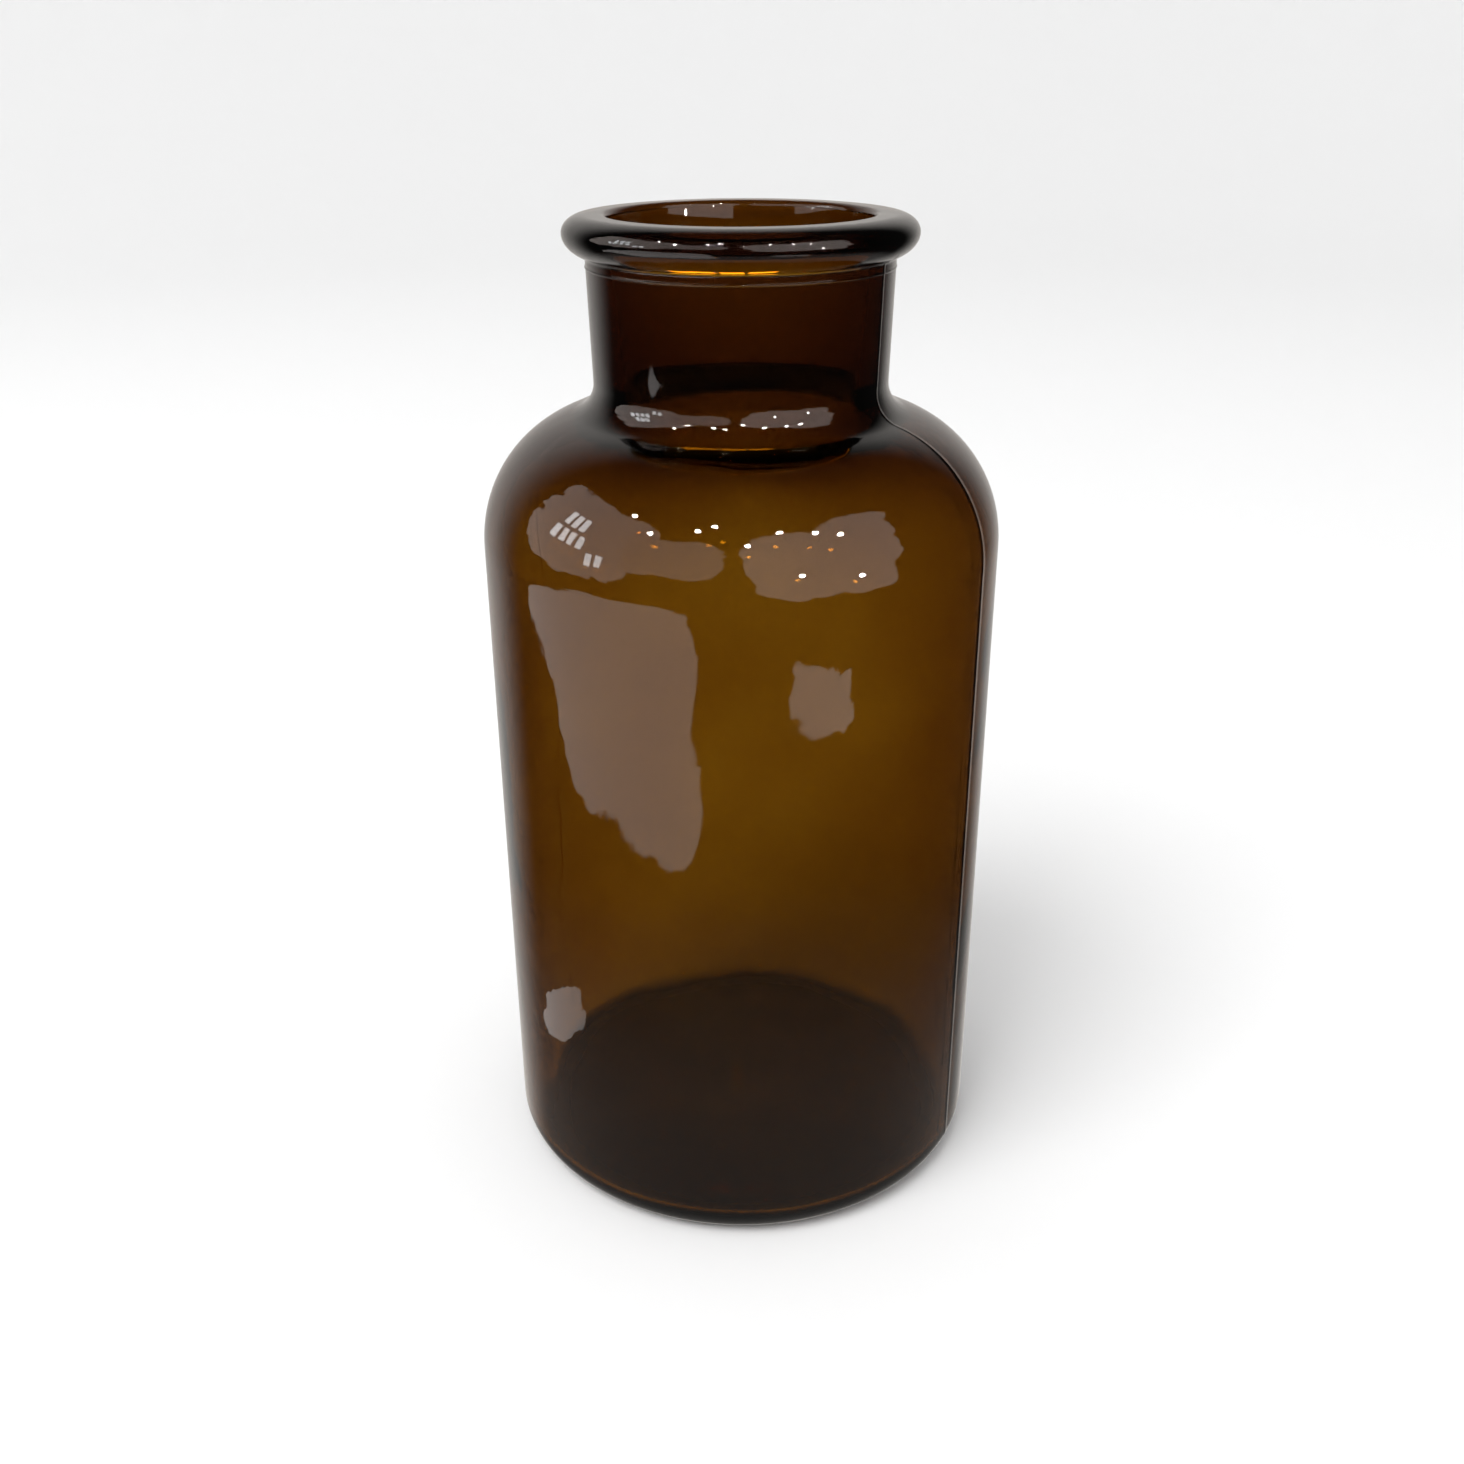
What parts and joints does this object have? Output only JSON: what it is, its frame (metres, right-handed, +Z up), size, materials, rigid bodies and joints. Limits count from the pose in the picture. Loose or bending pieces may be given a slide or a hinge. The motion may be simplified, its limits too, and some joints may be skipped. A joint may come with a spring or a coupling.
{
  "type": "reagent bottle",
  "caption": "Wide-mouth reagent bottle of amber glass with straight sides, a rounded shoulder, a short wide neck and a rolled lip, open at the top.",
  "frame": {"origin": "centre of the plane that the bottle stands on", "axes": "+Z up along the bottle's axis; the mould's parting plane is XZ, so the two upright seams are at +X and -X"},
  "size_m": [0.1042, 0.104, 0.2008],
  "materials": {
    "amber_glass": "smooth, glossy, see-through dark amber glass as it leaves the mould, fire-polished at the lip"
  },
  "bodies": {
    "root": {"glass_bottle": "amber_glass"}
  },
  "joints": []
}
